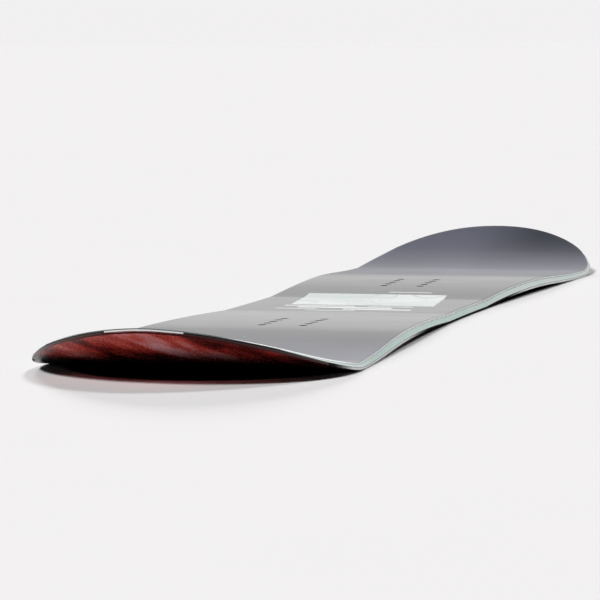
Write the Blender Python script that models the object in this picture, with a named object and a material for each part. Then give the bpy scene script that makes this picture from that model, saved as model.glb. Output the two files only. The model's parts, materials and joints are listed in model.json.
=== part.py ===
"""Snowboard lying flat on the floor: a pressed sandwich of separate layers with threaded inserts.

X runs along the board with the nose at +X, Z points up, and the floor is at Z = 0. Lengths are in metres.
Every piece is drawn flat and then set onto the bent profile. In the flat drawing u is the distance from
the middle of the stance towards the nose, y the distance from the centre line, and t the height above the
running surface, measured square to it.
"""

import math

import bmesh
import bpy

# Plan outline
WAIST_WIDTH = 0.2335
NOSE_WIDTH = 0.2850
TAIL_WIDTH = 0.2775
NOSE_REACH = 0.553  # middle of the stance to the widest line of the nose
TAIL_REACH = 0.562
NOSE_LENGTH = 0.170  # widest line to the end of the nose
TAIL_LENGTH = 0.160
NOSE_SQUARENESS = 2.05  # power along the board in the curve of the tip
TAIL_SQUARENESS = 2.12
NOSE_FULLNESS = 0.559  # power across the board in the curve of the tip
TAIL_FULLNESS = 0.465
TIP_FLAT = 0.012  # straight run across the very end

# Side profile of the running surface
FLAT_HALF = 0.085  # half of the flat stretch between the feet
CAMBER = 0.0039  # rise of the arch under each foot
CONTACT_BACK = 0.020  # widest line back to the line where a tip leaves the floor
ARCH_FALL = 0.150  # contact line back to the place where the arch starts to fall
NOSE_RISE = 0.0450
TAIL_RISE = 0.0445
NOSE_KICK = 1.70  # power of the upturn, 2 being a parabola
TAIL_KICK = 1.82

# Thickness of the whole sandwich
BODY_THICKNESS = 0.0094
BODY_HALF = 0.330  # full thickness up to here
SHOULDER_THICKNESS = 0.0074
SHOULDER_BACK = 0.035  # widest line back to the shoulder of the taper
TIP_THICKNESS = 0.0048
TAPER_PAST = 0.090  # widest line on to the end of the taper

# Layers
GAP = 0.0003  # between pieces that touch
BASE_THICKNESS = 0.0012
GLASS_THICKNESS = 0.0005
TOPSHEET_THICKNESS = 0.0005
RUBBER_THICKNESS = 0.0003

# Edges, sidewalls and tips
EDGE_WIDTH = 0.0020
FLANGE_REACH = 0.0060  # outline to the inner border of the edge flange
FLANGE_THICKNESS = 0.0005
SIDEWALL_WIDTH = 0.0120
SIDEWALL_BEVEL = 0.0025  # how far the top of a sidewall leans in
TIP_BEVEL = 0.0007
EDGE_PAST = 0.064  # widest line on to the end of a steel edge
SIDEWALL_STOP = 0.055  # end of the board back to the end of a sidewall
GUARD_DEPTH = 0.0065
CORE_SHORT = 0.015  # widest line back to the end of the wooden core

# Threaded inserts
STANCE = 0.490
ROW_SPACING = 0.040
HOLE_PITCH = 0.020
HOLES_PER_ROW = 5
BORE_RADIUS = 0.0030
SHEET_HOLE_RADIUS = 0.0035
BARREL_RADIUS = 0.0050
INSERT_FLANGE_RADIUS = 0.0080
INSERT_FLANGE = 0.0010
INSERT_FLOOR = 0.0008
SEAT_MARGIN = 0.004  # level deck past the outermost flange

# Wooden core
INSERT_STRIP = 0.026
OUTER_STRIPS = ("mid", "outer", "side")

# Fineness of the curves
TIP_STEPS = 11
RAMP_STEPS = 4
RUN_STEPS = 6
ROUND_SIDES = 12
CLOSEST = 0.004  # between two stations that only make a curve smooth
JUMP = 0.0012  # length over which a border steps in or out
NUDGE = 0.00001
OVERCUT = 0.001

# Sizes that follow
SHELF = BASE_THICKNESS + GAP
EDGE_HEIGHT = SHELF + FLANGE_THICKNESS
CORE_BOTTOM = SHELF + max(FLANGE_THICKNESS, GLASS_THICKNESS) + GAP
LID = TOPSHEET_THICKNESS + GLASS_THICKNESS + 2 * GAP
SEAT_HALF = (HOLES_PER_ROW - 1) / 2 * HOLE_PITCH + INSERT_FLANGE_RADIUS + SEAT_MARGIN
MIDDLE = (NOSE_REACH + NOSE_LENGTH - TAIL_REACH - TAIL_LENGTH) / 2


class End:
    """One end of the board, with its places given as distances from the middle of the stance."""

    def __init__(self, name, sign, width, reach, length, squareness, fullness, rise, kick):
        self.name = name
        self.sign = sign
        self.width = width
        self.reach = reach
        self.length = length
        self.squareness = squareness
        self.fullness = fullness
        self.rise = rise
        self.kick = kick
        self.tip = reach + length
        self.contact = reach - CONTACT_BACK
        self.fall = max(STANCE / 2 + SEAT_HALF, self.contact - ARCH_FALL)
        self.core = reach - CORE_SHORT
        self.edge = reach + EDGE_PAST
        self.clear = self.edge + GAP
        self.sidewall = self.tip - SIDEWALL_STOP
        self.guard = self.tip - GUARD_DEPTH


NOSE = End(
    "nose", 1, NOSE_WIDTH, NOSE_REACH, NOSE_LENGTH, NOSE_SQUARENESS, NOSE_FULLNESS, NOSE_RISE, NOSE_KICK
)
TAIL = End(
    "tail", -1, TAIL_WIDTH, TAIL_REACH, TAIL_LENGTH, TAIL_SQUARENESS, TAIL_FULLNESS, TAIL_RISE, TAIL_KICK
)
SIDES = (("left", 1), ("right", -1))

# Colour, metallic and roughness of each material
LOOKS = {
    "topsheet": ((0.060, 0.064, 0.078), 0.0, 0.30),
    "glass": ((0.62, 0.70, 0.62), 0.0, 0.45),
    "poplar": ((0.72, 0.56, 0.36), 0.0, 0.65),
    "beech": ((0.60, 0.38, 0.22), 0.0, 0.60),
    "sidewall": ((0.50, 0.72, 0.66), 0.0, 0.35),
    "spacer": ((0.020, 0.020, 0.022), 0.0, 0.45),
    "guard": ((0.80, 0.80, 0.78), 0.0, 0.35),
    "rubber": ((0.015, 0.015, 0.015), 0.0, 0.80),
    "steel": ((0.55, 0.55, 0.56), 1.0, 0.28),
    "stainless": ((0.60, 0.60, 0.61), 1.0, 0.30),
    "base": ((0.16, 0.020, 0.022), 0.0, 0.25),
}


def clear_scene():
    for obj in list(bpy.data.objects):
        bpy.data.objects.remove(obj, do_unlink=True)


def end_at(u):
    return NOSE if u >= 0 else TAIL


def ramp(start, stop, value):
    """A smooth rise from 0 to 1 between two places."""
    part = min(max((value - start) / (stop - start), 0), 1)
    return (1 - math.cos(math.pi * part)) / 2


def half_width(u):
    end = end_at(u)
    if abs(u) <= end.reach:
        part = abs(u) / end.reach
        return (WAIST_WIDTH + (end.width - WAIST_WIDTH) * part**2 * (1.5 - 0.5 * part**2)) / 2
    part = min((abs(u) - end.reach) / end.length, 1)
    return max(end.width / 2 * (1 - part**end.squareness) ** end.fullness, TIP_FLAT / 2)


def height(u):
    """Height of the running surface over the floor."""
    end = end_at(u)
    if abs(u) <= STANCE / 2:
        arch = ramp(FLAT_HALF, STANCE / 2 - SEAT_HALF, abs(u))
    else:
        arch = 1 - ramp(end.fall, end.contact, abs(u))
    upturn = max(abs(u) - end.contact, 0) / (end.tip - end.contact)
    return CAMBER * arch + end.rise * upturn**end.kick


def thickness(u):
    """Thickness of the whole sandwich, tapering from the feet to the tips."""
    end = end_at(u)
    shoulder = end.reach - SHOULDER_BACK
    taper = end.reach + TAPER_PAST
    if abs(u) <= shoulder:
        part = max(abs(u) - BODY_HALF, 0) / (shoulder - BODY_HALF)
        return BODY_THICKNESS + (SHOULDER_THICKNESS - BODY_THICKNESS) * part
    part = min((abs(u) - shoulder) / (taper - shoulder), 1)
    return SHOULDER_THICKNESS + (TIP_THICKNESS - SHOULDER_THICKNESS) * part


def core_top(u):
    return thickness(u) - LID


def bevel(u):
    """How far the deck stands in from the sidewall's foot."""
    end = end_at(u)
    return SIDEWALL_BEVEL + (TIP_BEVEL - SIDEWALL_BEVEL) * ramp(end.edge, end.sidewall, abs(u))


def place(u, y, t):
    """A point of the flat drawing set onto the bent profile."""
    slope = (height(u + NUDGE) - height(u - NUDGE)) / (2 * NUDGE)
    run = math.hypot(1, slope)
    return (u - MIDDLE - t * slope / run, y, height(u) + t / run)


def stations():
    """Places along the board at which each layer has a cross-section, from tail to nose."""
    found = {0.0}
    for end in (TAIL, NOSE):
        start = STANCE / 2 - SEAT_HALF
        stop = STANCE / 2 + SEAT_HALF
        fixed = [FLAT_HALF, start, stop, BODY_HALF, end.fall, end.reach - SHOULDER_BACK, end.contact, end.reach]
        fixed += [end.edge, end.clear, end.clear + JUMP, end.reach + TAPER_PAST]
        fixed += [end.sidewall, end.sidewall + JUMP, end.tip]
        loose = [FLAT_HALF / 2]
        loose += [FLAT_HALF + (start - FLAT_HALF) * k / RAMP_STEPS for k in range(1, RAMP_STEPS)]
        loose += [end.fall + (end.contact - end.fall) * k / RUN_STEPS for k in range(1, RUN_STEPS)]
        turns = [math.pi / 2 * k / TIP_STEPS for k in range(1, TIP_STEPS)]
        loose += [end.reach + end.length * math.sin(turn) for turn in turns]
        loose = [v for v in loose if min(abs(v - other) for other in fixed) > CLOSEST]
        found.update(round(end.sign * v, 7) for v in fixed + loose)
    return sorted(found)


def outward(start, stop):
    """Unit vector square to a run of the border, pointing out of the board."""
    along, across = stop[0] - start[0], stop[1] - start[1]
    length = math.hypot(along, across)
    return (-across / length, along / length)


def border_points():
    """Points of the left border as (u, y, lean), where lean is how far a point goes per unit outwards."""
    line = [(u, half_width(u)) for u in stations()]
    points = []
    for i, (u, y) in enumerate(line):
        before = line[i - 1] if i else (u, -y)
        after = line[i + 1] if i + 1 < len(line) else (u, -y)
        first = outward(before, (u, y))
        second = outward((u, y), after)
        share = 1 / (1 + first[0] * second[0] + first[1] * second[1])
        points.append((u, y, ((first[0] + second[0]) * share, (first[1] + second[1]) * share)))
    return points


def moved_in(border, depth):
    """The border moved in by depth, a function of u."""
    return [(u - depth(u) * lean[0], y - depth(u) * lean[1]) for u, y, lean in border]


def width_on(line, u):
    for first, second in zip(line, line[1:]):
        if first[0] <= u <= second[0]:
            part = (u - first[0]) / (second[0] - first[0])
            return first[1] + (second[1] - first[1]) * part
    return line[-1][1]


def stretch(line, low, high):
    """The part of a line between two places, with its ends exactly on them."""
    low = max(low, line[0][0])
    high = min(high, line[-1][0])
    inner = [point for point in line if low + GAP < point[0] < high - GAP]
    return [(low, width_on(line, low)), *inner, (high, width_on(line, high))]


def material(name):
    found = bpy.data.materials.get(name)
    if found:
        return found
    colour, metallic, roughness = LOOKS[name]
    made = bpy.data.materials.new(name)
    made.use_nodes = True
    shader = made.node_tree.nodes["Principled BSDF"]
    shader.inputs["Base Color"].default_value = (*colour, 1)
    shader.inputs["Metallic"].default_value = metallic
    shader.inputs["Roughness"].default_value = roughness
    return made


def add_object(name, shells, look):
    """An object from shells, each a list of rings that are joined in turn and closed at both ends."""
    mesh = bmesh.new()
    for rings in shells:
        rows = [[mesh.verts.new(point) for point in ring] for ring in rings]
        for first, second in zip(rows, rows[1:]):
            for i in range(len(first)):
                mesh.faces.new((first[i - 1], first[i], second[i], second[i - 1]))
        mesh.faces.new(rows[0])
        mesh.faces.new(rows[-1])
    bmesh.ops.remove_doubles(mesh, verts=mesh.verts, dist=NUDGE / 2)
    bmesh.ops.recalc_face_normals(mesh, faces=mesh.faces)
    data = bpy.data.meshes.new(name)
    mesh.to_mesh(data)
    mesh.free()
    obj = bpy.data.objects.new(name, data)
    bpy.context.scene.collection.objects.link(obj)
    if look:
        data.materials.append(material(look))
    return obj


def sheet(name, line, bottom, top, look):
    """A layer as wide as the line, between two heights that are functions of u."""
    rings = []
    for u, y in line:
        low, high = bottom(u), top(u)
        rings.append([place(u, -y, low), place(u, y, low), place(u, y, high), place(u, -y, high)])
    return add_object(name, [rings], look)


def rail(name, border, side, stop, section, look):
    """A piece that follows one border as far as stop(end): section gives its (depth, height) corners."""
    rings = []
    for u, y, lean in border:
        if abs(u) > stop(end_at(u)) + NUDGE:
            continue
        corners = section(u)
        rings.append([place(u - depth * lean[0], side * (y - depth * lean[1]), t) for depth, t in corners])
    return add_object(name, [rings], look)


def edge_section(u):
    return [
        (0, 0),
        (EDGE_WIDTH, 0),
        (EDGE_WIDTH, SHELF),
        (FLANGE_REACH, SHELF),
        (FLANGE_REACH, EDGE_HEIGHT),
        (0, EDGE_HEIGHT),
    ]


def rubber_section(u):
    top = EDGE_HEIGHT + GAP + RUBBER_THICKNESS
    return [(GAP, EDGE_HEIGHT + GAP), (FLANGE_REACH, EDGE_HEIGHT + GAP), (FLANGE_REACH, top), (GAP, top)]


def beside_steel(u):
    """Whether the border has a steel edge here. The tips have none."""
    return abs(u) <= end_at(u).clear + NUDGE


def sidewall_section(u):
    """A leaning outer face, and a rebate over the rubber as far as that runs."""
    lip = EDGE_HEIGHT + GAP + RUBBER_THICKNESS + GAP if beside_steel(u) else CORE_BOTTOM
    return [
        (GAP, lip),
        (FLANGE_REACH + GAP, lip),
        (FLANGE_REACH + GAP, CORE_BOTTOM),
        (SIDEWALL_WIDTH, CORE_BOTTOM),
        (SIDEWALL_WIDTH, core_top(u)),
        (GAP + bevel(u), core_top(u)),
    ]


def base_depth(u):
    """The base lies between the steel edges, and reaches the border past their ends."""
    return EDGE_WIDTH + GAP if beside_steel(u) else 0


def lower_glass_depth(u):
    return FLANGE_REACH + GAP if beside_steel(u) else GAP


def spacer_depth(u):
    return SIDEWALL_WIDTH + GAP if abs(u) <= end_at(u).sidewall + NUDGE else GAP


def add_layers(border):
    whole = moved_in(border, base_depth)
    sheet("base_sheet", whole, lambda u: 0, lambda u: BASE_THICKNESS, "base")
    inner = stretch(moved_in(border, lower_glass_depth), GAP - TAIL.guard, NOSE.guard - GAP)
    sheet("lower_glass", inner, lambda u: SHELF, lambda u: SHELF + GLASS_THICKNESS, "glass")
    deck = moved_in(border, lambda u: GAP + bevel(u))
    below = TOPSHEET_THICKNESS + GAP
    upper = sheet("upper_glass", deck, lambda u: core_top(u) + GAP, lambda u: thickness(u) - below, "glass")
    top = sheet("topsheet", deck, lambda u: thickness(u) - TOPSHEET_THICKNESS, thickness, "topsheet")
    return upper, top


def add_rails(border):
    for name, side in SIDES:
        rail(f"steel_edge_{name}", border, side, lambda end: end.edge, edge_section, "steel")
        rail(f"edge_rubber_{name}", border, side, lambda end: end.edge, rubber_section, "rubber")
        rail(f"sidewall_{name}", border, side, lambda end: end.sidewall, sidewall_section, "sidewall")


def add_tips(border):
    """The spacer carries the sandwich on past the wood, and the guard caps the very end."""
    for end in (NOSE, TAIL):
        filler = moved_in(border, spacer_depth)
        outline = moved_in(border, lambda u: 0)
        filler_ends = sorted((end.sign * (end.core + GAP), end.sign * (end.guard - GAP)))
        guard_ends = sorted((end.sign * end.guard, end.sign * end.tip))
        spacer = stretch(filler, *filler_ends)
        guard = stretch(outline, *guard_ends)
        sheet(f"tip_spacer_{end.name}", spacer, lambda u: CORE_BOTTOM, core_top, "spacer")
        sheet(f"tip_guard_{end.name}", guard, lambda u: SHELF, core_top, "guard")


def strip_borders():
    """Distances from the centre line at which the core strips meet, out to the waist of the core."""
    inner = (ROW_SPACING - INSERT_STRIP) / 2
    outer = inner + INSERT_STRIP
    share = (WAIST_WIDTH / 2 - SIDEWALL_WIDTH - outer) / len(OUTER_STRIPS)
    return [inner] + [outer + share * k for k in range(len(OUTER_STRIPS))]


def core_strip(name, line, near, far, side, look):
    """A strip between two distances from the centre line, or out to the sidewall if far is None."""
    rings = []
    for u, reach in line:
        outer = reach if far is None else far
        low, high = CORE_BOTTOM, core_top(u)
        corners = ((near, low), (outer, low), (outer, high), (near, high))
        rings.append([place(u, side * y, t) for y, t in corners])
    return add_object(name, [rings], look)


def add_core(border):
    """Nine upright strips side by side. The two under the insert rows are harder wood."""
    line = moved_in(border, lambda u: SIDEWALL_WIDTH + GAP)
    line = stretch(line, -TAIL.core, NOSE.core)
    borders = strip_borders()
    core_strip("core_centre", line, GAP / 2 - borders[0], borders[0] - GAP / 2, 1, "poplar")
    carriers = []
    for side_name, side in SIDES:
        near, far = borders[0] + GAP / 2, borders[1] - GAP / 2
        carriers.append(core_strip(f"core_insert_{side_name}", line, near, far, side, "beech"))
        for i, strip in enumerate(OUTER_STRIPS):
            near = borders[i + 1] + GAP / 2
            far = None if i + 2 == len(borders) else borders[i + 2] - GAP / 2
            core_strip(f"core_{strip}_{side_name}", line, near, far, side, "poplar")
    return carriers


def turned(centre, profile):
    """Rings round an upright axis: profile lists (radius, height) pairs."""
    u, y = centre
    first_turn = math.pi / ROUND_SIDES * 3
    rings = []
    for radius, t in profile:
        ring = []
        for k in range(ROUND_SIDES):
            turn = first_turn + 2 * math.pi * k / ROUND_SIDES
            x0, y0, z0 = place(u, y, t)
            ring.append((x0 + radius * math.cos(turn), y0 + radius * math.sin(turn), z0))
        rings.append(ring)
    return rings


def insert_places():
    """(name, u, y) of each insert, two rows under each foot."""
    places = []
    for end in (NOSE, TAIL):
        for side_name, side in SIDES:
            for k in range(HOLES_PER_ROW):
                u = end.sign * STANCE / 2 + (k - (HOLES_PER_ROW - 1) / 2) * HOLE_PITCH
                places.append((f"insert_{end.name}_{side_name}_{k + 1}", u, side * ROW_SPACING / 2))
    return places


def add_inserts():
    """A flanged barrel with a blind bore, held down by the layers over its shoulder."""
    foot = CORE_BOTTOM
    for name, u, y in insert_places():
        top = core_top(u)
        profile = [
            (INSERT_FLANGE_RADIUS, foot),
            (INSERT_FLANGE_RADIUS, foot + INSERT_FLANGE),
            (BARREL_RADIUS, foot + INSERT_FLANGE),
            (BARREL_RADIUS, top),
            (BORE_RADIUS, top),
            (BORE_RADIUS, foot + INSERT_FLOOR),
        ]
        add_object(name, [turned((u, y), profile)], "stainless")


def add_cutter(name, profile):
    """A hidden helper with the same turned shape at each insert."""
    obj = add_object(name, [turned((u, y), profile) for _, u, y in insert_places()], None)
    obj.hide_render = True
    obj.display_type = "WIRE"
    return obj


def drill(obj, cutter):
    made = obj.modifiers.new("holes", "BOOLEAN")
    made.operation = "DIFFERENCE"
    made.solver = "EXACT"
    made.object = cutter


def drill_for_inserts(sheets, carriers):
    top = BODY_THICKNESS - LID
    step = CORE_BOTTOM + INSERT_FLANGE + GAP
    hole = [(SHEET_HOLE_RADIUS, top), (SHEET_HOLE_RADIUS, BODY_THICKNESS + OVERCUT)]
    holes = add_cutter("sheet_hole_cutter", hole)
    pocket = [
        (INSERT_FLANGE_RADIUS + GAP, CORE_BOTTOM - OVERCUT),
        (INSERT_FLANGE_RADIUS + GAP, step),
        (BARREL_RADIUS + GAP, step),
        (BARREL_RADIUS + GAP, top + OVERCUT),
    ]
    pockets = add_cutter("insert_pocket_cutter", pocket)
    for obj in sheets:
        drill(obj, holes)
    for obj in carriers:
        drill(obj, pockets)


def build():
    clear_scene()
    border = border_points()
    sheets = add_layers(border)
    add_rails(border)
    add_tips(border)
    carriers = add_core(border)
    add_inserts()
    drill_for_inserts(sheets, carriers)


build()
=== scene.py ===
"""Looks of the snowboard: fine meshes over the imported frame, procedural materials, floor, light and camera.

Everything is in metres in the frame's own axes: X along the board with the nose at +X, Z up, floor at Z = 0.
As in the frame, u is the distance from the middle of the stance towards the nose, y the distance from the
centre line, and t the height above the running surface, measured square to it.
"""

import math

import bmesh
import bpy
from mathutils import Matrix, Vector
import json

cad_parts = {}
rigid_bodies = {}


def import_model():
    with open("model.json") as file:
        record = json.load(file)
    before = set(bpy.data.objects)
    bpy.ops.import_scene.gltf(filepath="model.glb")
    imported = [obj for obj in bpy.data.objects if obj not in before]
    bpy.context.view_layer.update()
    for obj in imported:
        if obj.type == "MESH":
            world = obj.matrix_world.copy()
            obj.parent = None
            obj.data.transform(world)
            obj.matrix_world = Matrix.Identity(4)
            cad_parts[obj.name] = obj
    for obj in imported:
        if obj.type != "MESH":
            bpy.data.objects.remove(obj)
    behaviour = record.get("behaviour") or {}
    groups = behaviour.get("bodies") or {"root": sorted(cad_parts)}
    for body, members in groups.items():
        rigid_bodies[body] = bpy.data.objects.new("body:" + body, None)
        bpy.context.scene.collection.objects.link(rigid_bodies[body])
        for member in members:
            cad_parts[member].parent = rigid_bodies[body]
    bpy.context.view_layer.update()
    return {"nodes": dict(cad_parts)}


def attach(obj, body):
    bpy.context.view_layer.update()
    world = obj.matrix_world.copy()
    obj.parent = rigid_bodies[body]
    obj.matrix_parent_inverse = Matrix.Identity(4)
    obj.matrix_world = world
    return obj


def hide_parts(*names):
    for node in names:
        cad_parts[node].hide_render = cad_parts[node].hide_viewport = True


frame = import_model()

# Outline and length, as in the frame
WAIST_WIDTH = 0.2335
TIP_FLAT = 0.012
CONTACT_BACK = 0.020
STANCE = 0.490
MIDDLE = 0.0005

# Arch under each foot: rounder than in the frame, and as high as the photograph shows it
FLAT_HALF = 0.085
CREST = 0.300
ARCH_SHAPE = 0.60

# Thickness of the sandwich, as in the frame
BODY_THICKNESS = 0.0094
BODY_HALF = 0.330
SHOULDER_THICKNESS = 0.0074
SHOULDER_BACK = 0.035
TIP_THICKNESS = 0.0048
TAPER_PAST = 0.090

# Layers as they show at the border, with hairlines between them
HAIR = 0.00002
BASE_TOP = 0.0013
STEEL_TOP = 0.0020
RUBBER_TOP = 0.0023
TOPSHEET = 0.0007
UPPER_GLASS = 0.0004
EDGE_WIDTH = 0.0020
FLANGE_REACH = 0.0060
FLANGE_THICKNESS = 0.0005
SIDEWALL_WIDTH = 0.0120
SIDEWALL_BEVEL = 0.0028
TIP_BEVEL = 0.0009
GUARD_LEAN = 0.0002
CORNER = 0.00025
RIM_BAND = 0.004

# Corners in the face of a sidewall as shares of its height, and the number of the one where its lap starts
FACE_SHARES = (0.0, 0.19, 0.38, 0.57, 0.76, 0.88, 1.0)
LAP_FROM = 4

# Where pieces stop, past the widest line or back from the end of a tip
EDGE_PAST = 0.064
SCARF_LENGTH = 0.043
SIDEWALL_STOP = 0.055
GUARD_DEPTH = 0.0065
CORE_SHORT = 0.015

# Threaded inserts
ROW_SPACING = 0.040
HOLE_PITCH = 0.020
HOLES_PER_ROW = 5
SHEET_HOLE_RADIUS = 0.0035
HOLE_CHAMFER = 0.0008
HOLE_FROM = 0.006
HOLE_PAST = 0.002
INSERT_TOP = 0.0078
INSERT_FOOT = 0.0023
INSERT_FLOOR = 0.0031
INSERT_FLANGE_TOP = 0.0033
INSERT_FLANGE_RADIUS = 0.0080
BARREL_RADIUS = 0.0050
BORE_RADIUS = 0.0030
BORE_CHAMFER = 0.0003
THREAD_DEPTH = 0.00054
THREAD_PITCH = 0.0010
THREAD_FLANK = 0.44
THREAD_CREST = 1.15
THREAD_FADE = 4

# Fineness of the curves
BODY_STEP = 0.0050
TIP_STEPS = 72
TURN_SIDES = 40
RIM_STEPS = 4
THREAD_STEPS = 10
CLOSEST = 0.0008
NUDGE = 0.00001
SHARP = math.radians(28)

# Camera fitted to the photograph
CAMERA_PLACE = (3.31612, 0.82916, 0.29210)
CAMERA_YAW = math.radians(14.996)
CAMERA_DROP = math.radians(4.637)
CAMERA_ROLL = math.radians(-0.351)
CAMERA_LENS = 201.455
CAMERA_REACH = 200
SENSOR = 36.0


class End:
    """One end of the board, with its places given as distances from the middle of the stance."""

    def __init__(self, name, sign, width, reach, length, squareness, fullness, rise, kick, arch):
        self.name = name
        self.sign = sign
        self.width = width
        self.reach = reach
        self.length = length
        self.squareness = squareness
        self.fullness = fullness
        self.rise = rise
        self.kick = kick
        self.arch = arch
        self.tip = reach + length
        self.contact = reach - CONTACT_BACK
        self.core = reach - CORE_SHORT
        self.edge = reach + EDGE_PAST
        self.sidewall = self.tip - SIDEWALL_STOP
        self.scarf = self.sidewall - SCARF_LENGTH
        self.guard = self.tip - GUARD_DEPTH


# Name, sign, width, reach, length, squareness, fullness, rise, kick and arch
NOSE = End("nose", 1, 0.2850, 0.553, 0.170, 2.05, 0.559, 0.0450, 1.70, 0.0042)
TAIL = End("tail", -1, 0.2775, 0.562, 0.160, 2.12, 0.465, 0.0445, 1.82, 0.0050)
SIDES = (("left", 1), ("right", -1))


# Shape of the board
def end_at(u):
    return NOSE if u >= 0 else TAIL


def ramp(start, stop, value):
    part = min(max((value - start) / (stop - start), 0), 1)
    return (1 - math.cos(math.pi * part)) / 2


def half_width(u):
    end = end_at(u)
    if abs(u) <= end.reach:
        part = abs(u) / end.reach
        return (WAIST_WIDTH + (end.width - WAIST_WIDTH) * part**2 * (1.5 - 0.5 * part**2)) / 2
    part = min((abs(u) - end.reach) / end.length, 1)
    return max(end.width / 2 * (1 - part**end.squareness) ** end.fullness, TIP_FLAT / 2)


def height(u):
    """Height of the running surface. The arch swells softly to its crest, as the photograph shows it."""
    end = end_at(u)
    if abs(u) <= CREST:
        arch = ramp(0, 1, (max(abs(u) - FLAT_HALF, 0) / (CREST - FLAT_HALF)) ** ARCH_SHAPE)
    else:
        arch = 1 - ramp(CREST, end.contact, abs(u))
    upturn = max(abs(u) - end.contact, 0) / (end.tip - end.contact)
    return end.arch * arch + end.rise * upturn**end.kick


def thickness(u):
    end = end_at(u)
    shoulder = end.reach - SHOULDER_BACK
    taper = end.reach + TAPER_PAST
    if abs(u) <= shoulder:
        part = max(abs(u) - BODY_HALF, 0) / (shoulder - BODY_HALF)
        return BODY_THICKNESS + (SHOULDER_THICKNESS - BODY_THICKNESS) * part
    part = min((abs(u) - shoulder) / (taper - shoulder), 1)
    return SHOULDER_THICKNESS + (TIP_THICKNESS - SHOULDER_THICKNESS) * part


def bevel(u):
    end = end_at(u)
    return SIDEWALL_BEVEL + (TIP_BEVEL - SIDEWALL_BEVEL) * ramp(end.edge, end.sidewall, abs(u))


def place(u, y, t):
    slope = (height(u + NUDGE) - height(u - NUDGE)) / (2 * NUDGE)
    run = math.hypot(1, slope)
    return (u - MIDDLE - t * slope / run, y, height(u) + t / run)


def stations():
    """Places along the board from tail to nose, closer together round the tips."""
    found = set()
    for end in (TAIL, NOSE):
        steps = round(end.reach / BODY_STEP)
        fixed = [end.contact, end.core, end.edge, end.edge + CLOSEST]
        fixed += [end.scarf, end.sidewall, end.guard, end.tip]
        loose = [end.reach * k / steps for k in range(steps + 1)]
        turns = [math.pi / 2 * k / TIP_STEPS for k in range(1, TIP_STEPS)]
        loose += [end.reach + end.length * math.sin(turn) for turn in turns]
        loose = [v for v in loose if min(abs(v - other) for other in fixed) > CLOSEST]
        kept = []
        for v in sorted(fixed + loose):
            if v in fixed or not kept or v - kept[-1] > CLOSEST:
                kept.append(v)
        found.update(round(end.sign * v, 7) for v in kept)
    return sorted(found)


def outward(start, stop):
    along, across = stop[0] - start[0], stop[1] - start[1]
    length = math.hypot(along, across)
    return (-across / length, along / length)


def border_points():
    """Points of the left border as (u, y, lean), where lean is how far a point goes per unit outwards."""
    line = [(u, half_width(u)) for u in stations()]
    points = []
    for i, (u, y) in enumerate(line):
        before = line[i - 1] if i else (u, -y)
        after = line[i + 1] if i + 1 < len(line) else (u, -y)
        first = outward(before, (u, y))
        second = outward((u, y), after)
        share = 1 / (1 + first[0] * second[0] + first[1] * second[1])
        points.append((u, y, ((first[0] + second[0]) * share, (first[1] + second[1]) * share)))
    return points


BORDER = border_points()


def run_of(low, high):
    return [point for point in BORDER if low - NUDGE <= point[0] <= high + NUDGE]


# Meshes
def add_object(name, build):
    """An object whose mesh is filled in by build(mesh), with smooth faces and sharp corners."""
    mesh = bmesh.new()
    build(mesh)
    bmesh.ops.remove_doubles(mesh, verts=mesh.verts, dist=NUDGE / 10)
    bmesh.ops.recalc_face_normals(mesh, faces=mesh.faces)
    for face in mesh.faces:
        face.smooth = True
    data = bpy.data.meshes.new(name)
    mesh.to_mesh(data)
    mesh.free()
    data.set_sharp_from_angle(angle=SHARP)
    obj = bpy.data.objects.new(name, data)
    bpy.context.scene.collection.objects.link(obj)
    return obj


def layer(name, profile, low=-1.0, high=1.0):
    """A layer across the board: profile(u) lists its (depth, height) corners from the lower border up."""

    def build(mesh):
        rows = []
        for u, y, lean in run_of(low, high):
            corners = profile(u)
            for_side = []
            for side in (1, -1):
                points = [place(u - d * lean[0], side * (y - d * lean[1]), t) for d, t in corners]
                for_side.append([mesh.verts.new(point) for point in points])
            rows.append(for_side)
        for first, second in zip(rows, rows[1:]):
            for a, b in zip(first, second):
                for j in range(len(a) - 1):
                    mesh.faces.new((a[j], a[j + 1], b[j + 1], b[j]))
            mesh.faces.new((first[0][0], second[0][0], second[1][0], first[1][0]))
            mesh.faces.new((first[0][-1], second[0][-1], second[1][-1], first[1][-1]))
        for left, right in (rows[0], rows[-1]):
            for j in range(len(left) - 1):
                mesh.faces.new((left[j], left[j + 1], right[j + 1], right[j]))

    return add_object(name, build)


def rail(name, side, low, high, section, painted=()):
    """A piece along one border: section(u) lists the (depth, height) corners round it.

    The faces that end at a corner whose number is in painted take the second material.
    """

    def build(mesh):
        rows = []
        for u, y, lean in run_of(low, high):
            points = [place(u - d * lean[0], side * (y - d * lean[1]), t) for d, t in section(u)]
            rows.append([mesh.verts.new(point) for point in points])
        for first, second in zip(rows, rows[1:]):
            for j in range(len(first)):
                face = mesh.faces.new((first[j - 1], first[j], second[j], second[j - 1]))
                face.material_index = 1 if j in painted else 0
        mesh.faces.new(rows[0])
        mesh.faces.new(rows[-1])

    return add_object(name, build)


def rounded(corners, radius):
    """Replaces each (depth, height, round) corner that says so by three points of a small round."""
    points = []
    for i, (d, t, soft) in enumerate(corners):
        if not soft:
            points.append((d, t))
            continue
        before = corners[i - 1]
        after = corners[(i + 1) % len(corners)]
        ends = []
        for other in (before, after):
            length = math.hypot(other[0] - d, other[1] - t)
            ends.append((d + (other[0] - d) * radius / length, t + (other[1] - t) * radius / length))
        middle = ((ends[0][0] + ends[1][0]) / 2, (ends[0][1] + ends[1][1]) / 2)
        points += [ends[0], ((middle[0] + d) / 2, (middle[1] + t) / 2), ends[1]]
    return points


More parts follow.
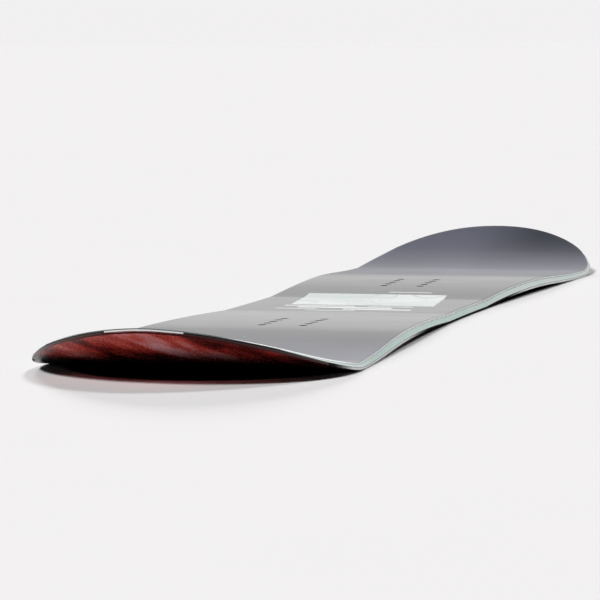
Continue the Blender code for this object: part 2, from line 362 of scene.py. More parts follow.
def steel_section(u):
    return rounded(
        [
            (0, 0, True),
            (EDGE_WIDTH, 0, False),
            (EDGE_WIDTH, STEEL_TOP - FLANGE_THICKNESS, False),
            (FLANGE_REACH, STEEL_TOP - FLANGE_THICKNESS, False),
            (FLANGE_REACH, STEEL_TOP, False),
            (0, STEEL_TOP, True),
        ],
        CORNER,
    )


def rubber_section(u):
    low, high = STEEL_TOP + HAIR, RUBBER_TOP - HAIR
    return [(CORNER, low), (FLANGE_REACH, low), (FLANGE_REACH, high), (CORNER, high)]


def core_top(u):
    return thickness(u) - TOPSHEET - UPPER_GLASS - 2 * HAIR


def scarf_height(u):
    """Lower border of the sidewall: it climbs to the deck past the scarf line."""
    end = end_at(u)
    part = min(max((abs(u) - end.scarf) / (end.sidewall - end.scarf), 0), 1)
    return RUBBER_TOP + (core_top(u) - 4 * HAIR - RUBBER_TOP) * part


def lean_at(u, t):
    """Depth of the leaning side face at a height."""
    part = min(max((t - RUBBER_TOP) / (core_top(u) - RUBBER_TOP), 0), 1)
    return CORNER + (bevel(u) - CORNER) * part


def sidewall_section(u):
    low, high = scarf_height(u), core_top(u)
    heights = [low + (high - low) * share for share in FACE_SHARES]
    return [(SIDEWALL_WIDTH, low), *[(lean_at(u, t), t) for t in heights], (SIDEWALL_WIDTH, high)]


def base_profile(u):
    inset = EDGE_WIDTH + HAIR if abs(u) <= end_at(u).edge + NUDGE else CORNER
    return [(inset, 0), (inset, BASE_TOP)]


def lower_glass_profile(u):
    steel = abs(u) <= end_at(u).edge + NUDGE
    inset = FLANGE_REACH + HAIR if steel else CORNER
    return [(inset, BASE_TOP + HAIR), (inset, RUBBER_TOP - HAIR if not steel else STEEL_TOP)]


def upper_glass_profile(u):
    low = core_top(u) + HAIR
    return [(bevel(u), low), (bevel(u) + HAIR, low + UPPER_GLASS - HAIR)]


def topsheet_profile(u):
    """The deck's skin, with its upper rim rounded over."""
    low = thickness(u) - TOPSHEET
    inset = bevel(u)
    turns = [math.pi / 2 * k / RIM_STEPS for k in range(RIM_STEPS + 1)]
    rim = [(inset + CORNER * (1 - math.cos(v)), thickness(u) - CORNER * (1 - math.sin(v))) for v in turns]
    return [(inset, low), *rim, (inset + RIM_BAND, thickness(u))]


def spacer_profile(u):
    """Black filler of a tip. Its outer flange fills the space under the scarf of the sidewall."""
    low, high = RUBBER_TOP, core_top(u)
    if abs(u) > end_at(u).sidewall + NUDGE:
        return [(lean_at(u, low), low), (lean_at(u, (low + high) / 2), (low + high) / 2), (bevel(u), high)]
    step = scarf_height(u) - HAIR
    if abs(u) <= end_at(u).scarf + NUDGE:
        return [(SIDEWALL_WIDTH + HAIR, low), (SIDEWALL_WIDTH + HAIR, step), (SIDEWALL_WIDTH + HAIR, high)]
    return [(lean_at(u, low), low), (lean_at(u, step), step), (SIDEWALL_WIDTH + HAIR, high)]


def guard_profile(u):
    low, high = RUBBER_TOP - HAIR, core_top(u) - HAIR
    middle = (low + high) / 2
    return [(CORNER, low), (0, low + CORNER), (GUARD_LEAN, middle), (bevel(u) - CORNER, high)]


def turned(name, centre, profile, sides=TURN_SIDES):
    """A turned shape round an upright axis: profile lists (radius, height above the running surface)."""
    x0, y0, z0 = centre

    def build(mesh):
        rings = []
        for radius, t in profile:
            turns = [2 * math.pi * k / sides for k in range(sides)]
            points = [(x0 + radius * math.cos(v), y0 + radius * math.sin(v), z0 + t) for v in turns]
            rings.append([mesh.verts.new(point) for point in points])
        for first, second in zip(rings, rings[1:]):
            for k in range(sides):
                mesh.faces.new((first[k - 1], first[k], second[k], second[k - 1]))
        mesh.faces.new(rings[0])
        mesh.faces.new(rings[-1])

    return add_object(name, build)


def threaded_insert(name, centre):
    """A flanged barrel whose blind bore carries a real helical thread."""
    x0, y0, z0 = centre
    outside = [
        (INSERT_FLANGE_RADIUS, INSERT_FOOT),
        (INSERT_FLANGE_RADIUS, INSERT_FLANGE_TOP),
        (BARREL_RADIUS, INSERT_FLANGE_TOP),
        (BARREL_RADIUS, INSERT_TOP),
        (BORE_RADIUS + BORE_CHAMFER, INSERT_TOP),
    ]
    depth = INSERT_TOP - BORE_CHAMFER - INSERT_FLOOR
    rows = round(depth / THREAD_PITCH * THREAD_STEPS)

    def radius_at(k, turn):
        z = INSERT_TOP - BORE_CHAMFER - depth * k / rows
        phase = (z / THREAD_PITCH - turn / (2 * math.pi)) % 1
        fade = min(1, k / THREAD_FADE, (rows - k) / THREAD_FADE)
        ridge = max(0, 1 - abs(phase - 0.5) / THREAD_FLANK)
        return BORE_RADIUS - THREAD_DEPTH * min(1, ridge * THREAD_CREST) * fade, z

    def build(mesh):
        turns = [2 * math.pi * k / TURN_SIDES for k in range(TURN_SIDES)]
        lines = [[corner] * TURN_SIDES for corner in outside]
        lines += [[radius_at(k, v) for v in turns] for k in range(rows + 1)]
        rings = []
        for line in lines:
            points = [(x0 + r * math.cos(v), y0 + r * math.sin(v), z0 + t) for v, (r, t) in zip(turns, line)]
            rings.append([mesh.verts.new(point) for point in points])
        for first, second in zip(rings, rings[1:]):
            for k in range(TURN_SIDES):
                mesh.faces.new((first[k - 1], first[k], second[k], second[k - 1]))
        mesh.faces.new(rings[0])
        mesh.faces.new(rings[-1])

    return add_object(name, build)


def insert_places():
    """(name, u, y) of each insert, two rows under each foot."""
    places = []
    for end in (NOSE, TAIL):
        for side_name, side in SIDES:
            for k in range(HOLES_PER_ROW):
                u = end.sign * STANCE / 2 + (k - (HOLES_PER_ROW - 1) / 2) * HOLE_PITCH
                places.append((f"insert_{end.name}_{side_name}_{k + 1}", u, side * ROW_SPACING / 2))
    return places


def drill(obj, profile):
    """Cuts the same turned hole at each insert."""
    for name, u, y in insert_places():
        x, _, z = place(u, y, 0)
        cutter = turned(f"cutter_{name}", (x, y, z), profile)
        cut = obj.modifiers.new("hole", "BOOLEAN")
        cut.operation = "DIFFERENCE"
        cut.solver = "EXACT"
        cut.object = cutter
        with bpy.context.temp_override(object=obj, active_object=obj, selected_objects=[obj]):
            bpy.ops.object.modifier_apply(modifier=cut.name)
        bpy.data.objects.remove(cutter)
    obj.data.set_sharp_from_angle(angle=SHARP)


# Materials
class Look:
    """A material and the few calls that its node tree is made with."""

    def __init__(self, name, **settings):
        self.material = bpy.data.materials.new(name)
        self.material.use_nodes = True
        self.tree = self.material.node_tree
        self.shader = self.tree.nodes["Principled BSDF"]
        for key, value in settings.items():
            self.shader.inputs[key.replace("_", " ")].default_value = value
        self.coordinates = self.node("ShaderNodeTexCoord").outputs["Object"]

    def node(self, kind, **settings):
        made = self.tree.nodes.new(kind)
        for key, value in settings.items():
            setattr(made, key, value)
        return made

    def join(self, source, target):
        self.tree.links.new(source, target)

    def feed(self, made, inputs):
        for key, value in inputs.items():
            if isinstance(value, bpy.types.NodeSocket):
                self.join(value, made.inputs[key])
            else:
                made.inputs[key].default_value = value
        return made

    def mapped(self, place=(0, 0, 0), turn=0.0, scale=(1, 1, 1), vector=None):
        made = self.node("ShaderNodeMapping", vector_type="TEXTURE")
        made.inputs["Location"].default_value = place
        made.inputs["Rotation"].default_value = (0, 0, turn)
        made.inputs["Scale"].default_value = scale
        self.join(vector or self.coordinates, made.inputs["Vector"])
        return made.outputs["Vector"]

    def noise(self, scale, detail=4.0, roughness=0.5, distortion=0.0, vector=None):
        made = self.node("ShaderNodeTexNoise")
        inputs = {"Vector": vector or self.coordinates, "Scale": scale, "Detail": detail}
        inputs.update({"Roughness": roughness, "Distortion": distortion})
        return self.feed(made, inputs).outputs["Fac"]

    def wave(self, scale, distortion, detail, detail_scale, vector):
        made = self.node("ShaderNodeTexWave", wave_type="BANDS", bands_direction="X", wave_profile="SIN")
        inputs = {"Vector": vector, "Scale": scale, "Distortion": distortion, "Detail": detail}
        inputs["Detail Scale"] = detail_scale
        return self.feed(made, inputs).outputs["Fac"]

    def apart(self, vector=None):
        made = self.node("ShaderNodeSeparateXYZ")
        self.join(vector or self.coordinates, made.inputs[0])
        return made.outputs["X"], made.outputs["Y"], made.outputs["Z"]

    def math(self, operation, first, second=0.0):
        made = self.node("ShaderNodeMath", operation=operation)
        for i, value in enumerate((first, second)):
            if isinstance(value, bpy.types.NodeSocket):
                self.join(value, made.inputs[i])
            else:
                made.inputs[i].default_value = value
        return made.outputs[0]

    def between(self, value, low, high, to_low=0.0, to_high=1.0):
        """A smooth step of the value from one place to the other."""
        made = self.node("ShaderNodeMapRange", interpolation_type="SMOOTHSTEP")
        inputs = {"Value": value, "From Min": low, "From Max": high, "To Min": to_low, "To Max": to_high}
        return self.feed(made, inputs).outputs["Result"]

    def mix(self, share, first, second):
        made = self.node("ShaderNodeMix", data_type="RGBA")
        for socket, value in ((made.inputs[0], share), (made.inputs[6], first), (made.inputs[7], second)):
            if isinstance(value, bpy.types.NodeSocket):
                self.join(value, socket)
            elif socket.type == "RGBA":
                socket.default_value = (*value, 1)
            else:
                socket.default_value = value
        return made.outputs[2]

    def colours(self, value, stops):
        made = self.node("ShaderNodeValToRGB")
        ramp_of = made.color_ramp
        while len(ramp_of.elements) < len(stops):
            ramp_of.elements.new(0.5)
        for element, (at, colour) in zip(ramp_of.elements, stops):
            element.position = at
            element.color = (*colour, 1)
        self.join(value, made.inputs["Fac"])
        return made.outputs["Color"]

    def rough(self, value):
        self.join(value, self.shader.inputs["Roughness"])

    def colour(self, value):
        self.join(value, self.shader.inputs["Base Color"])

    def bump(self, value, strength, distance):
        made = self.node("ShaderNodeBump")
        made.inputs["Strength"].default_value = strength
        made.inputs["Distance"].default_value = distance
        self.join(value, made.inputs["Height"])
        self.join(made.outputs["Normal"], self.shader.inputs["Normal"])


PRINT_TURN = math.radians(-1.1)
PRINT_SLANT = 0.128
PANEL_CENTRE = (-0.0604, 0.0)
STREAK_PLACE = (0.02, 0, 0)
STREAK_TURN = math.radians(73)


def hole_shade_mask(look):
    """1 near the two rows of inserts, and 0 from there to the rim; it places the painted shade on the walls
    of the holes.
    """
    x, y, _ = look.apart()
    rows = look.between(look.math("ABSOLUTE", y), 0.040, 0.034)
    return look.math("MULTIPLY", rows, look.between(look.math("ABSOLUTE", x), 0.36, 0.33))


def slanted_box(look, centre, half_x, half_y, soft):
    """1 inside a slanted box of the print, falling to 0 over its soft border."""
    x, y, _ = look.apart(look.mapped((*centre, 0), PRINT_TURN))
    y = look.math("SUBTRACT", y, look.math("MULTIPLY", x, PRINT_SLANT))
    inside_x = look.between(look.math("ABSOLUTE", x), half_x, half_x - soft)
    inside_y = look.between(look.math("ABSOLUTE", y), half_y, half_y - soft)
    return look.math("MULTIPLY", inside_x, inside_y)


def deck_look():
    """Dark slate print under a clear satin skin, with a pale panel and rows of dashes at the middle."""
    look = Look("topsheet_satin", IOR=1.5)
    cloud = look.noise(5.0, 6.0, 0.55, 0.6, look.mapped(scale=(2.6, 1.0, 1.0)))
    grain = look.noise(900.0, 2.0, 0.5, 0.0, look.mapped(scale=(6.0, 1.0, 1.0)))
    tone = look.math("ADD", look.math("MULTIPLY", cloud, 0.9), look.math("MULTIPLY", grain, 0.1))
    charcoal = look.mix(look.between(tone, 0.3, 0.7), (0.024, 0.024, 0.025), (0.040, 0.040, 0.042))
    blue = look.mix(look.between(tone, 0.3, 0.7), (0.085, 0.089, 0.122), (0.114, 0.118, 0.158))
    x, y, _ = look.apart()
    from_middle = look.math("ABSOLUTE", x)
    to_tip = look.between(from_middle, 0.28, 0.52)
    slate = look.mix(to_tip, charcoal, blue)
    corner = look.math("MULTIPLY", look.between(x, -0.56, -0.70), look.between(y, -0.05, 0.07))
    slate = look.mix(corner, slate, (0.018, 0.021, 0.034))
    # Faint contour lines in the panel
    field = look.noise(14.0, 1.0, 0.4, 0.2)
    rings = look.math("FRACT", look.math("MULTIPLY", field, 9.0))
    line = look.between(look.math("ABSOLUTE", look.math("SUBTRACT", rings, 0.5)), 0.13, 0.06)
    tint = look.noise(9.0, 3.0, 0.5, 0.0)
    paper = look.mix(look.between(tint, 0.38, 0.62), (0.57, 0.63, 0.62), (0.76, 0.79, 0.78))
    paper = look.mix(look.math("MULTIPLY", line, 0.75), paper, (0.42, 0.58, 0.55))
    panel = slanted_box(look, PANEL_CENTRE, 0.0632, 0.0755, 0.0006)
    print_layer = look.mix(panel, slate, paper)
    # Loose rows of pale dashes beside the panel: x, y, half length along x and y, strength
    dashes = (
        (0.0150, -0.034, 0.0050, 0.038, 0.85),
        (0.0160, 0.040, 0.0045, 0.024, 0.70),
        (0.0320, -0.004, 0.0060, 0.050, 1.0),
        (0.0500, 0.034, 0.0056, 0.036, 0.95),
        (0.0500, -0.050, 0.0045, 0.022, 0.60),
        (0.0670, -0.010, 0.0040, 0.026, 0.60),
        (-0.1420, 0.024, 0.0034, 0.024, 0.75),
    )
    for dash_x, dash_y, half_x, half_y, strength in dashes:
        dash = slanted_box(look, (dash_x, dash_y), half_x, half_y, 0.0015)
        print_layer = look.mix(look.math("MULTIPLY", dash, strength), print_layer, (0.92, 0.94, 0.94))
    # Short pale ticks that mark the middle of each insert pack
    for end in (NOSE, TAIL):
        for k in (-1, 0, 1):
            centre = (end.sign * STANCE / 2 - MIDDLE + k * HOLE_PITCH, 0)
            tick = slanted_box(look, centre, 0.0005, 0.0055 if k else 0.0085, 0.0003)
            print_layer = look.mix(look.math("MULTIPLY", tick, 0.5), print_layer, (0.60, 0.63, 0.66))
    # The cut rim of the skin is grey, with a painted highlight at the corners of the tips and painted shade
    # on the walls of the holes
    _, _, up = look.apart(look.node("ShaderNodeNewGeometry").outputs["Normal"])
    outer = look.between(look.math("ABSOLUTE", y), 0.055, 0.09)
    lit = look.math("MULTIPLY", look.between(from_middle, 0.55, 0.60), outer)
    rim_and_painted_highlight = look.mix(lit, (0.12, 0.125, 0.125), (0.90, 0.91, 0.91))
    rim = look.mix(hole_shade_mask(look), rim_and_painted_highlight, (0.006, 0.006, 0.007))
    look.colour(look.mix(look.between(up, 0.78, 0.45), print_layer, rim))
    # The skin is duller from the foot to the end of the tail, and a little towards the nose
    smudge = look.noise(26.0, 5.0, 0.6, 0.4, look.mapped(scale=(1.0, 1.8, 1.0)))
    worn = look.between(smudge, 0.3, 0.7, 0.14, 0.16)
    worn = look.math("ADD", worn, look.between(x, -0.29, -0.43, 0.0, 0.15))
    look.rough(look.math("ADD", worn, look.between(x, 0.26, 0.42, 0.0, 0.07)))
    peel = look.noise(420.0, 2.0, 0.5)
    look.bump(peel, 0.05, 0.00012)
    return look.material


def sidewall_look():
    """Pale mint plastic, slightly see-through, with fine lines left by the cutter along it."""
    below = {"Subsurface_Weight": 0.25, "Subsurface_Scale": 0.004}
    look = Look("sidewall_mint", Roughness=0.32, IOR=1.5, Coat_Weight=0.4, Coat_Roughness=0.10, **below)
    drift = look.noise(16.0, 4.0, 0.55, 0.0, look.mapped(scale=(4.0, 1.0, 1.0)))
    stops = [(0.3, (0.40, 0.63, 0.56)), (0.55, (0.47, 0.69, 0.62)), (0.8, (0.55, 0.73, 0.68))]
    mint = look.colours(drift, stops)
    # Painted light: the mint is painted paler from the middle towards the tail and over the nose's scarf, as
    # a painted highlight
    x, _, _ = look.apart()
    painted_light_share = look.math("MAXIMUM", look.between(x, 0.10, -0.30), look.between(x, 0.46, 0.56))
    mint = look.mix(look.math("MULTIPLY", painted_light_share, 0.75), mint, (0.86, 0.94, 0.91))
    lines = look.noise(900.0, 2.0, 0.5, 0.0, look.mapped(scale=(60.0, 8.0, 1.0)))
    look.colour(look.mix(look.between(lines, 0.62, 0.8), mint, (0.80, 0.92, 0.88)))
    look.rough(look.between(drift, 0.3, 0.8, 0.28, 0.40))
    look.bump(lines, 0.25, 0.00008)
    return look.material


def steel_look():
    """Ground steel edge, with lines along it and brown flecks from use."""
    look = Look("steel_ground", Roughness=0.25, Specular_IOR_Level=0.0)
    grind = look.noise(1500.0, 3.0, 0.6, 0.0, look.mapped(scale=(45.0, 3.0, 1.0)))
    fleck = look.noise(240.0, 3.0, 0.6)
    stops = [(0.3, (0.40, 0.42, 0.42)), (0.55, (0.52, 0.54, 0.54)), (0.8, (0.62, 0.64, 0.64))]
    steel = look.colours(grind, stops)
    steel = look.mix(look.between(fleck, 0.66, 0.78, 0.0, 0.35), steel, (0.33, 0.28, 0.24))
    # Painted shade: the edge is painted black, and is no metal, between the feet and over its last stretch at
    # each tip, for its contact shadow and the dark floor it mirrors
    x, _, _ = look.apart()
    past = look.between(look.math("ABSOLUTE", x), NOSE.edge - 0.045, NOSE.edge - 0.004)
    middle = look.math("MINIMUM", look.between(x, 0.34, 0.20), look.between(x, -0.28, -0.18))
    past = look.math("MAXIMUM", past, middle)
    look.colour(look.mix(past, steel, (0.02, 0.02, 0.02)))
    look.join(look.math("SUBTRACT", 1.0, past), look.shader.inputs["Metallic"])
    look.rough(look.between(grind, 0.3, 0.8, 0.20, 0.34))
    look.bump(grind, 0.22, 0.00005)
    return look.material


def base_look():
    """Running base, with painted shade that makes it nearly black under the feet, and slanted red and pink
    streaks towards both tips.
    """
    look = Look("base_streaked", IOR=1.45, Specular_IOR_Level=0.35)
    broad = look.noise(14.0, 2.0, 0.5, 0.5, look.mapped(STREAK_PLACE, STREAK_TURN, (1.0, 5.0, 1.0)))
    fine = look.noise(60.0, 2.0, 0.5, 0.3, look.mapped(STREAK_PLACE, STREAK_TURN, (1.0, 14.0, 1.0)))
    value = look.math("ADD", look.math("MULTIPLY", broad, 0.74), look.math("MULTIPLY", fine, 0.26))
    stops = [
        (0.40, (0.020, 0.002, 0.002)),
        (0.46, (0.12, 0.010, 0.009)),
        (0.51, (0.34, 0.030, 0.024)),
        (0.56, (0.54, 0.085, 0.065)),
        (0.62, (0.72, 0.33, 0.35)),
    ]
    red = look.colours(value, stops)
    # Painted shade: inwards of the tips the base is painted nearly black
    x, _, _ = look.apart()
    painted_shade_share = look.between(look.math("ABSOLUTE", x), 0.685, 0.600)
    red = look.mix(look.math("MULTIPLY", painted_shade_share, 0.88), red, (0.004, 0.002, 0.002))
    # The cut rim is plain dark red
    _, _, up = look.apart(look.node("ShaderNodeNewGeometry").outputs["Normal"])
    rim = look.between(look.math("ABSOLUTE", up), 0.75, 0.5)
    look.colour(look.mix(rim, red, (0.035, 0.004, 0.004)))
    grind = look.noise(1400.0, 2.0, 0.5, 0.0, look.mapped(scale=(70.0, 1.6, 1.0)))
    look.rough(look.between(grind, 0.3, 0.8, 0.24, 0.36))
    look.bump(grind, 0.20, 0.00005)
    return look.material


def plastic_look(name, dark, light, roughness, grain, gloss=0.5):
    """Moulded plastic with soft drifts of tone and a fine sawn grain at its cut rim."""
    look = Look(name, Roughness=roughness, IOR=1.5, Specular_IOR_Level=gloss)
    drift = look.noise(30.0, 4.0, 0.55)
    look.colour(look.mix(look.between(drift, 0.3, 0.7), dark, light))
    sawn = look.noise(grain, 3.0, 0.6, 0.0, look.mapped(scale=(8.0, 8.0, 1.0)))
    look.rough(look.between(sawn, 0.3, 0.8, roughness * 0.85, roughness * 1.2))
    look.bump(sawn, 0.2, 0.00006)
    return look.material


def glass_look(name, over_side, over_tip, pale):
    """Cured glass cloth seen edge on: it takes the tone of what lies under it."""
    look = Look(name, Roughness=0.35, IOR=1.5)
    x, _, _ = look.apart()
    u = look.math("ABSOLUTE", look.math("ADD", x, MIDDLE))
    past = look.between(u, TAIL.sidewall - 0.006, NOSE.sidewall)
    threads = look.noise(1300.0, 2.0, 0.6, 0.0, look.mapped(scale=(20.0, 1.0, 1.0)))
    # Painted shade on the walls of the holes
    tone = look.mix(hole_shade_mask(look), look.mix(past, over_side, over_tip), (0.010, 0.010, 0.011))
    look.colour(look.mix(look.between(threads, 0.45, 0.75, 0.0, pale), tone, (0.72, 0.76, 0.73)))
    look.bump(threads, 0.2, 0.00004)
    return look.material


def wood_look(name, dark, light):
    """Sawn core wood: long fibres, year rings and short darker pores."""
    look = Look(name, Roughness=0.6, IOR=1.45)
    along = look.mapped(scale=(14.0, 1.0, 1.0))
    rings = look.wave(38.0, 3.0, 3.0, 1.2, look.mapped(turn=math.pi / 2, scale=(1.0, 18.0, 1.0)))
    fibres = look.noise(420.0, 5.0, 0.65, 0.0, along)
    value = look.math("ADD", look.math("MULTIPLY", rings, 0.45), look.math("MULTIPLY", fibres, 0.55))
    look.colour(look.mix(look.between(value, 0.2, 0.8), dark, light))
    look.rough(look.between(fibres, 0.3, 0.8, 0.5, 0.75))
    look.bump(fibres, 0.3, 0.0001)
    return look.material


def rubber_look():
    """Matt black foil with a grey dust on its cut rim."""
    look = Look("edge_rubber_black", Roughness=0.75, IOR=1.5, Specular_IOR_Level=0.1)
    dust = look.noise(500.0, 3.0, 0.6)
    look.colour(look.mix(look.between(dust, 0.5, 0.8), (0.05, 0.055, 0.055), (0.12, 0.125, 0.125)))
    look.bump(dust, 0.3, 0.00006)
    return look.material


def insert_look():
    """Turned stainless steel with fine lines of the tool round it."""
    look = Look("insert_stainless", Metallic=1.0, Roughness=0.28)
    tooling = look.noise(1100.0, 3.0, 0.6, 0.0, look.mapped(scale=(1.0, 1.0, 6.0)))
    look.colour(look.mix(look.between(tooling, 0.3, 0.7), (0.46, 0.46, 0.47), (0.64, 0.64, 0.65)))
    look.rough(look.between(tooling, 0.3, 0.8, 0.22, 0.38))
    look.bump(tooling, 0.2, 0.00004)
    return look.material


def dress(obj, material, slot, *nodes):
    """Gives a fine piece its material and body, and hides the nodes that it stands for."""
    obj.data.materials.append(material)
    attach(obj, "root")
    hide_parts(*nodes)


def dress_node(name, material):
    slots = frame["nodes"][name].data.materials
    slots.clear()
    slots.append(material)


# Pieces
def add_deck():
    topsheet = layer("topsheet_fine", topsheet_profile)
    top = BODY_THICKNESS
    wide, chamfered = SHEET_HOLE_RADIUS, SHEET_HOLE_RADIUS + HOLE_CHAMFER
    bore = [(wide, HOLE_FROM), (wide, top - HOLE_CHAMFER), (chamfered, top), (chamfered, top + HOLE_PAST)]
    drill(topsheet, bore)
    dress(topsheet, deck_look(), "topsheet", "topsheet")
    upper = layer("upper_glass_fine", upper_glass_profile)
    drill(upper, [(wide, HOLE_FROM), (wide, top + HOLE_PAST)])
    pale_glass = glass_look("upper_glass_edge", (0.66, 0.76, 0.72), (0.05, 0.05, 0.052), 0.25)
    dress(upper, pale_glass, "glass_laminate", "upper_glass")


def add_rim():
    """Edges, foils and sidewalls. A greyer lap along the top of each sidewall leads over to the deck."""
    steel, mint, rubber = steel_look(), sidewall_look(), rubber_look()
    lap = plastic_look("sidewall_lap", (0.39, 0.45, 0.435), (0.45, 0.51, 0.495), 0.30, 700.0)
    for name, side in SIDES:
        edge = rail(f"steel_edge_{name}_fine", side, -TAIL.edge, NOSE.edge, steel_section)
        dress(edge, steel, "steel_edge", f"steel_edge_{name}")
        foil = rail(f"edge_rubber_{name}_fine", side, -TAIL.edge, NOSE.edge, rubber_section)
        dress(foil, rubber, "edge_rubber", f"edge_rubber_{name}")
        painted = range(LAP_FROM + 2, len(FACE_SHARES) + 1)
        wall = rail(f"sidewall_{name}_fine", side, -TAIL.sidewall, NOSE.sidewall, sidewall_section, painted)
        dress(wall, mint, "sidewall", f"sidewall_{name}")
        wall.data.materials.append(lap)


def add_base():
    base = layer("base_sheet_fine", base_profile)
    dress(base, base_look(), "base", "base_sheet")
    lower = layer("lower_glass_fine", lower_glass_profile, -TAIL.guard, NOSE.guard)
    red_glass = glass_look("lower_glass_edge", (0.05, 0.008, 0.008), (0.05, 0.008, 0.008), 0.04)
    dress(lower, red_glass, "glass_laminate", "lower_glass")


def add_tips():
    black = plastic_look("tip_spacer_black", (0.010, 0.010, 0.011), (0.020, 0.020, 0.022), 0.55, 700.0, 0.12)
    white = plastic_look("tip_guard_white", (0.74, 0.74, 0.73), (0.82, 0.82, 0.81), 0.40, 900.0)
    for end in (NOSE, TAIL):
        low, high = sorted((end.sign * end.core, end.sign * end.guard))
        spacer = layer(f"tip_spacer_{end.name}_fine", spacer_profile, low, high)
        dress(spacer, black, "tip_spacer", f"tip_spacer_{end.name}")
        low, high = sorted((end.sign * end.guard, end.sign * end.tip))
        guard = layer(f"tip_guard_{end.name}_fine", guard_profile, low, high)
        dress(guard, white, "tip_guard", f"tip_guard_{end.name}")


def add_inserts():
    steel = insert_look()
    for name, u, y in insert_places():
        x, _, z = place(u, y, 0)
        dress(threaded_insert(f"{name}_threaded", (x, y, z)), steel, "insert", name)


def dress_core():
    poplar = wood_look("core_poplar", (0.52, 0.37, 0.22), (0.74, 0.58, 0.39))
    beech = wood_look("core_beech", (0.40, 0.23, 0.13), (0.62, 0.41, 0.25))
    for name in frame["nodes"]:
        if name.startswith("core_"):
            dress_node(name, beech if name.startswith("core_insert") else poplar)


def keep_out_of_reflections():
    """Leaves the pieces out of each other's reflections: the photograph shows no mirrored tip in the deck."""
    for obj in bpy.data.objects:
        if obj.type == "MESH":
            obj.visible_glossy = False


# Studio
PALE = (0.885, 0.871, 0.878)
AMBIENT = 0.015
FLOOR_HALF = 60
FLOOR_SHADE = 0.80


def add_floor():
    """A wide pale floor that fills the view up to the horizon and keeps the board's shadow."""
    data = bpy.data.meshes.new("floor")
    mesh = bmesh.new()
    bmesh.ops.create_grid(mesh, x_segments=8, y_segments=8, size=FLOOR_HALF)
    mesh.to_mesh(data)
    mesh.free()
    floor = bpy.data.objects.new("floor", data)
    bpy.context.scene.collection.objects.link(floor)
    look = Look("floor_paper", Roughness=0.9, Specular_IOR_Level=0.0)
    tooth = look.noise(3.0, 2.0, 0.5)
    shade = tuple(FLOOR_SHADE * v / PALE[0] for v in PALE)
    paper = look.mix(look.between(tooth, 0.4, 0.6), shade, tuple(v * 1.004 for v in shade))
    # Painted shadow: the paper is painted nearly black under the board, a little inside its outline
    x, y, _ = look.apart()
    from_middle = look.math("ABSOLUTE", x)
    past = look.math("MAXIMUM", look.math("SUBTRACT", from_middle, 0.50), 0.0)
    along = look.math("POWER", look.math("DIVIDE", past, 0.166), 2.0)
    across = look.math("POWER", look.math("DIVIDE", look.math("SUBTRACT", y, 0.005), 0.140), 2.0)
    round_tip = look.math("ADD", along, look.math("MULTIPLY", across, look.between(past, 0.0, 0.04)))
    tip = look.between(round_tip, 1.0, 0.88)
    sidecut = look.math("POWER", look.math("MINIMUM", from_middle, 0.52), 2.0)
    half = look.math("ADD", look.math("MULTIPLY", sidecut, 0.0855), 0.1140)
    inside = look.math("SUBTRACT", half, look.math("ABSOLUTE", y))
    painted_shadow = look.math("MULTIPLY", tip, look.between(inside, 0.0, 0.004))
    look.colour(look.mix(painted_shadow, paper, (0.020, 0.008, 0.009)))
    data.materials.append(look.material)


def add_sun(name, towards, strength, width):
    """A far lamp in the given direction from the board, with soft shadows and no mirror image."""
    light = bpy.data.lights.new(name, "SUN")
    light.energy = strength
    light.angle = math.radians(width)
    lamp = bpy.data.objects.new(name, light)
    lamp.rotation_euler = Vector(towards).to_track_quat("Z", "Y").to_euler()
    lamp.visible_glossy = False
    bpy.context.scene.collection.objects.link(lamp)
    return lamp


def direction(azimuth, elevation):
    """Azimuth is turned from +X towards +Y, both in degrees."""
    a, e = math.radians(azimuth), math.radians(elevation)
    return (math.cos(e) * math.cos(a), math.cos(e) * math.sin(a), math.sin(e))


LAMPS = (
    ("lamp_front", direction(-32.6, 46.1), 2.52, 14),
    ("lamp_back", direction(165.0, 48.5), 1.31, 14),
    ("lamp_low", direction(204.0, 15.5), 2.46, 12),
)


def sky_step(tree, value, low, high, to_low, to_high):
    """A smooth step of one part of the sky's direction."""
    made = tree.nodes.new("ShaderNodeMapRange")
    made.interpolation_type = "SMOOTHSTEP"
    for key, number in (("From Min", low), ("From Max", high), ("To Min", to_low), ("To Max", to_high)):
        made.inputs[key].default_value = number
    tree.links.new(value, made.inputs["Value"])
    return made.outputs["Result"]


def sky_math(tree, operation, first, second):
    made = tree.nodes.new("ShaderNodeMath")
    made.operation = operation
    tree.links.new(first, made.inputs[0])
    tree.links.new(second, made.inputs[1])
    return made.outputs[0]


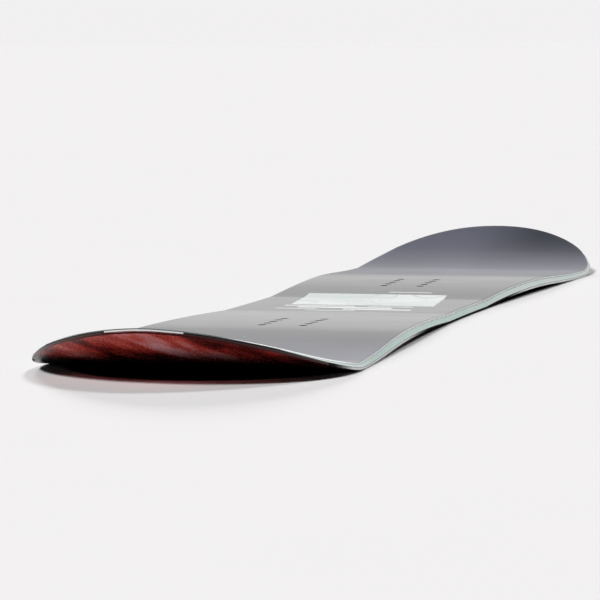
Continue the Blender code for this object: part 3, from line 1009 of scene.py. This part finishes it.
def add_light():
    """Three lamps, and a sky that is dim as a light, pale to the camera and shaped for polished surfaces."""
    for name, towards, strength, width in LAMPS:
        add_sun(name, towards, strength, width)
    world = bpy.data.worlds.new("studio")
    world.use_nodes = True
    tree = world.node_tree
    nodes, links = tree.nodes, tree.links
    background = nodes["Background"]
    background.inputs["Strength"].default_value = 1.0
    path = nodes.new("ShaderNodeLightPath")
    coordinates = nodes.new("ShaderNodeTexCoord")
    apart = nodes.new("ShaderNodeSeparateXYZ")
    links.new(coordinates.outputs["Generated"], apart.inputs[0])
    # What polished surfaces see: palest low down, darker overhead and behind the camera
    rise = sky_step(tree, apart.outputs["Z"], 0.38, 0.78, 0.82, 0.33)
    near = sky_step(tree, apart.outputs["Z"], 0.085, 0.145, 1.04, 0.84)
    front = sky_step(tree, apart.outputs["X"], -0.1, 0.7, 1.0, 0.30)
    seen = sky_math(tree, "MULTIPLY", sky_math(tree, "MULTIPLY", rise, near), front)
    glossy = sky_math(tree, "MAXIMUM", path.outputs["Is Glossy Ray"], path.outputs["Is Transmission Ray"])
    level = nodes.new("ShaderNodeMix")
    level.data_type = "FLOAT"
    level.inputs[2].default_value = AMBIENT
    links.new(glossy, level.inputs[0])
    links.new(seen, level.inputs[3])
    camera = nodes.new("ShaderNodeMix")
    camera.data_type = "RGBA"
    links.new(path.outputs["Is Camera Ray"], camera.inputs[0])
    links.new(level.outputs[0], camera.inputs[6])
    camera.inputs[7].default_value = (*PALE, 1)
    links.new(camera.outputs[2], background.inputs["Color"])
    bpy.context.scene.world = world


RIM_TOWARDS = direction(70.0, 5.0)
RIM_SPREAD = 20
RIM_LAMPS = (
    ("lamp_rim", 3.0, ("topsheet_fine", "upper_glass_fine")),
    ("lamp_rail", 0.6, ("sidewall_left_fine", "sidewall_right_fine")),
)


def add_rim_lamps():
    """Low lamps beside the nose, one that lights only the deck and its glass, one only the sidewalls."""
    for name, strength, pieces in RIM_LAMPS:
        lamp = add_sun(name, RIM_TOWARDS, strength, RIM_SPREAD)
        lit = bpy.data.collections.new(name)
        for piece in pieces:
            lit.objects.link(bpy.data.objects[piece])
        lamp.light_linking.receiver_collection = lit


def add_camera():
    ahead = Vector(
        (
            -math.cos(CAMERA_DROP) * math.cos(CAMERA_YAW),
            -math.cos(CAMERA_DROP) * math.sin(CAMERA_YAW),
            -math.sin(CAMERA_DROP),
        )
    )
    level = ahead.cross(Vector((0, 0, 1))).normalized()
    upright = level.cross(ahead)
    right = level * math.cos(CAMERA_ROLL) + upright * math.sin(CAMERA_ROLL)
    up = right.cross(ahead)
    turned_to = Matrix((right, up, -ahead)).transposed().to_4x4()
    data = bpy.data.cameras.new("camera")
    data.sensor_width = SENSOR
    data.lens = CAMERA_LENS
    data.clip_end = CAMERA_REACH
    camera = bpy.data.objects.new("camera", data)
    camera.matrix_world = Matrix.Translation(CAMERA_PLACE) @ turned_to
    bpy.context.scene.collection.objects.link(camera)
    bpy.context.scene.camera = camera


bpy.context.scene.view_settings.view_transform = "Standard"
add_camera()
add_deck()
add_rim()
add_base()
add_tips()
add_inserts()
dress_core()
keep_out_of_reflections()
add_floor()
add_light()
add_rim_lamps()

bpy.context.view_layer.update()
